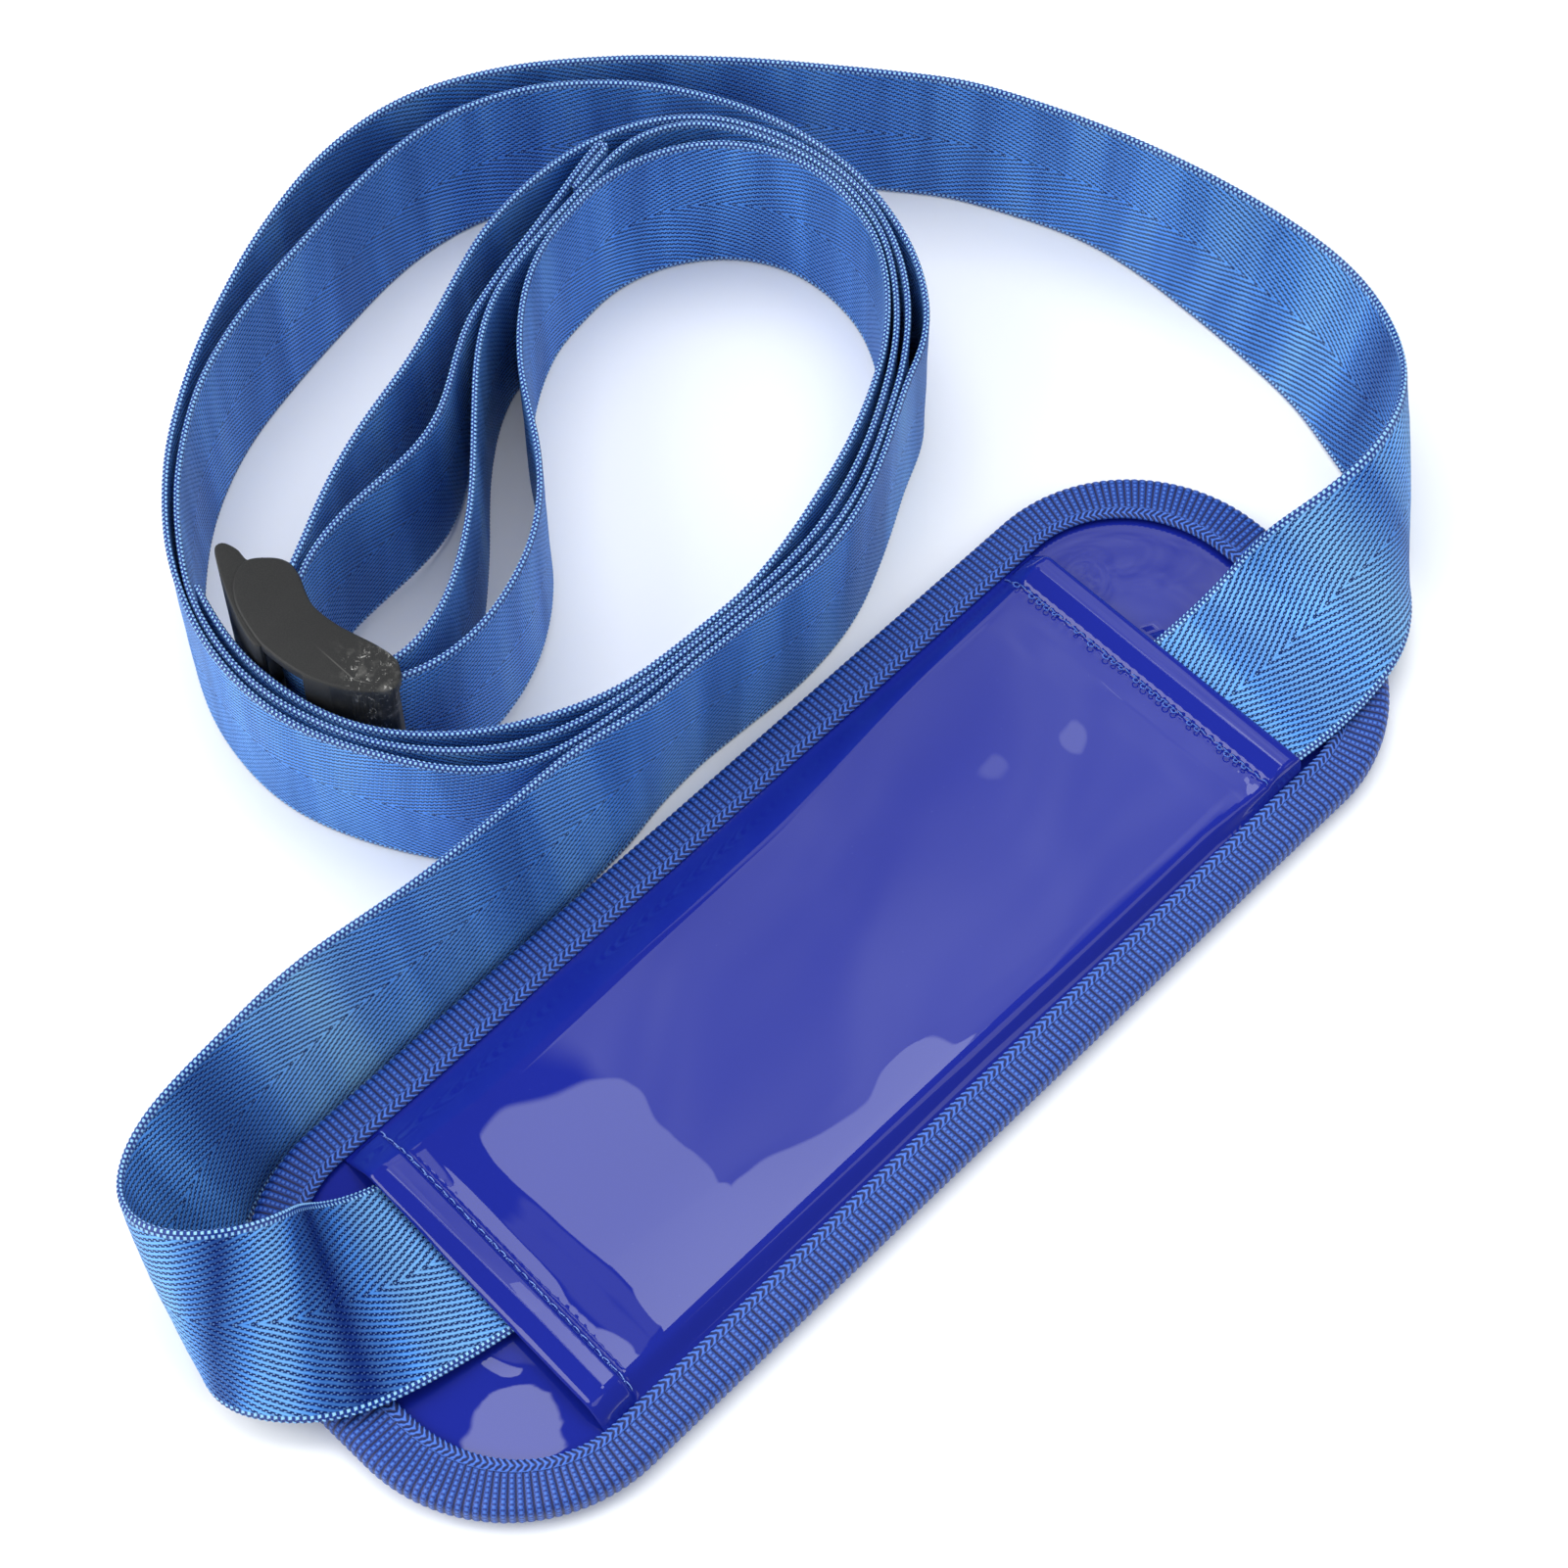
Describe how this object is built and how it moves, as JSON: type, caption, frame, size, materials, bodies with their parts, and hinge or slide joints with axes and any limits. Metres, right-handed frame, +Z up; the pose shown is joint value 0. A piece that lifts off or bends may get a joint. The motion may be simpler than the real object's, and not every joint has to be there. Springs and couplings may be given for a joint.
{
  "type": "padded mobilisation gait belt",
  "caption": "Long blue webbing belt in a loose standing coil, threaded through the sleeve of a bound vinyl pad and closed by a curved black ladder buckle.",
  "frame": {"origin": "centre of the pad's flat underside, on the plane the standing webbing also rests on", "axes": "+X along the pad, +Y across it towards the coil of webbing, +Z up out of the pad's face"},
  "size_m": [0.4088, 0.3104, 0.0585],
  "materials": {
    "webbing": "satin herringbone twill webbing with braided edges",
    "webbing_thread": "polyester sewing thread",
    "vinyl": "glossy soft vinyl sheet",
    "backing": "soft vinyl sheet",
    "foam": "closed cell foam",
    "binding": "ribbed grosgrain tape",
    "pad_thread": "polyester sewing thread",
    "buckle_plastic": "moulded plastic with a fine grain"
  },
  "bodies": {
    "webbing": {"webbing_strap": "webbing", "loop_stitch_needle": "webbing_thread", "loop_stitch_bobbin": "webbing_thread"},
    "pad": {"pad_base_sheet": "vinyl", "pad_backing_sheet": "backing", "foam_core": "foam", "sleeve_sheet": "vinyl", "binding_tape": "binding", "hem_thread_left": "pad_thread", "hem_thread_right": "pad_thread", "binding_thread_top": "pad_thread", "binding_thread_bottom": "pad_thread"},
    "buckle": {"buckle_frame": "buckle_plastic"}
  },
  "joints": [
    {"name": "pad_slide", "type": "slide", "parent": "webbing", "child": "pad", "axis": [0.9924, -0.123, 0], "range_m": [-0.0015, 0.003]},
    {"name": "buckle_tilt", "type": "hinge", "parent": "webbing", "child": "buckle", "pos_m": [-0.0449, 0.1376, 0], "axis": [0, 0, 1], "range_deg": [-6, 4]}
  ]
}
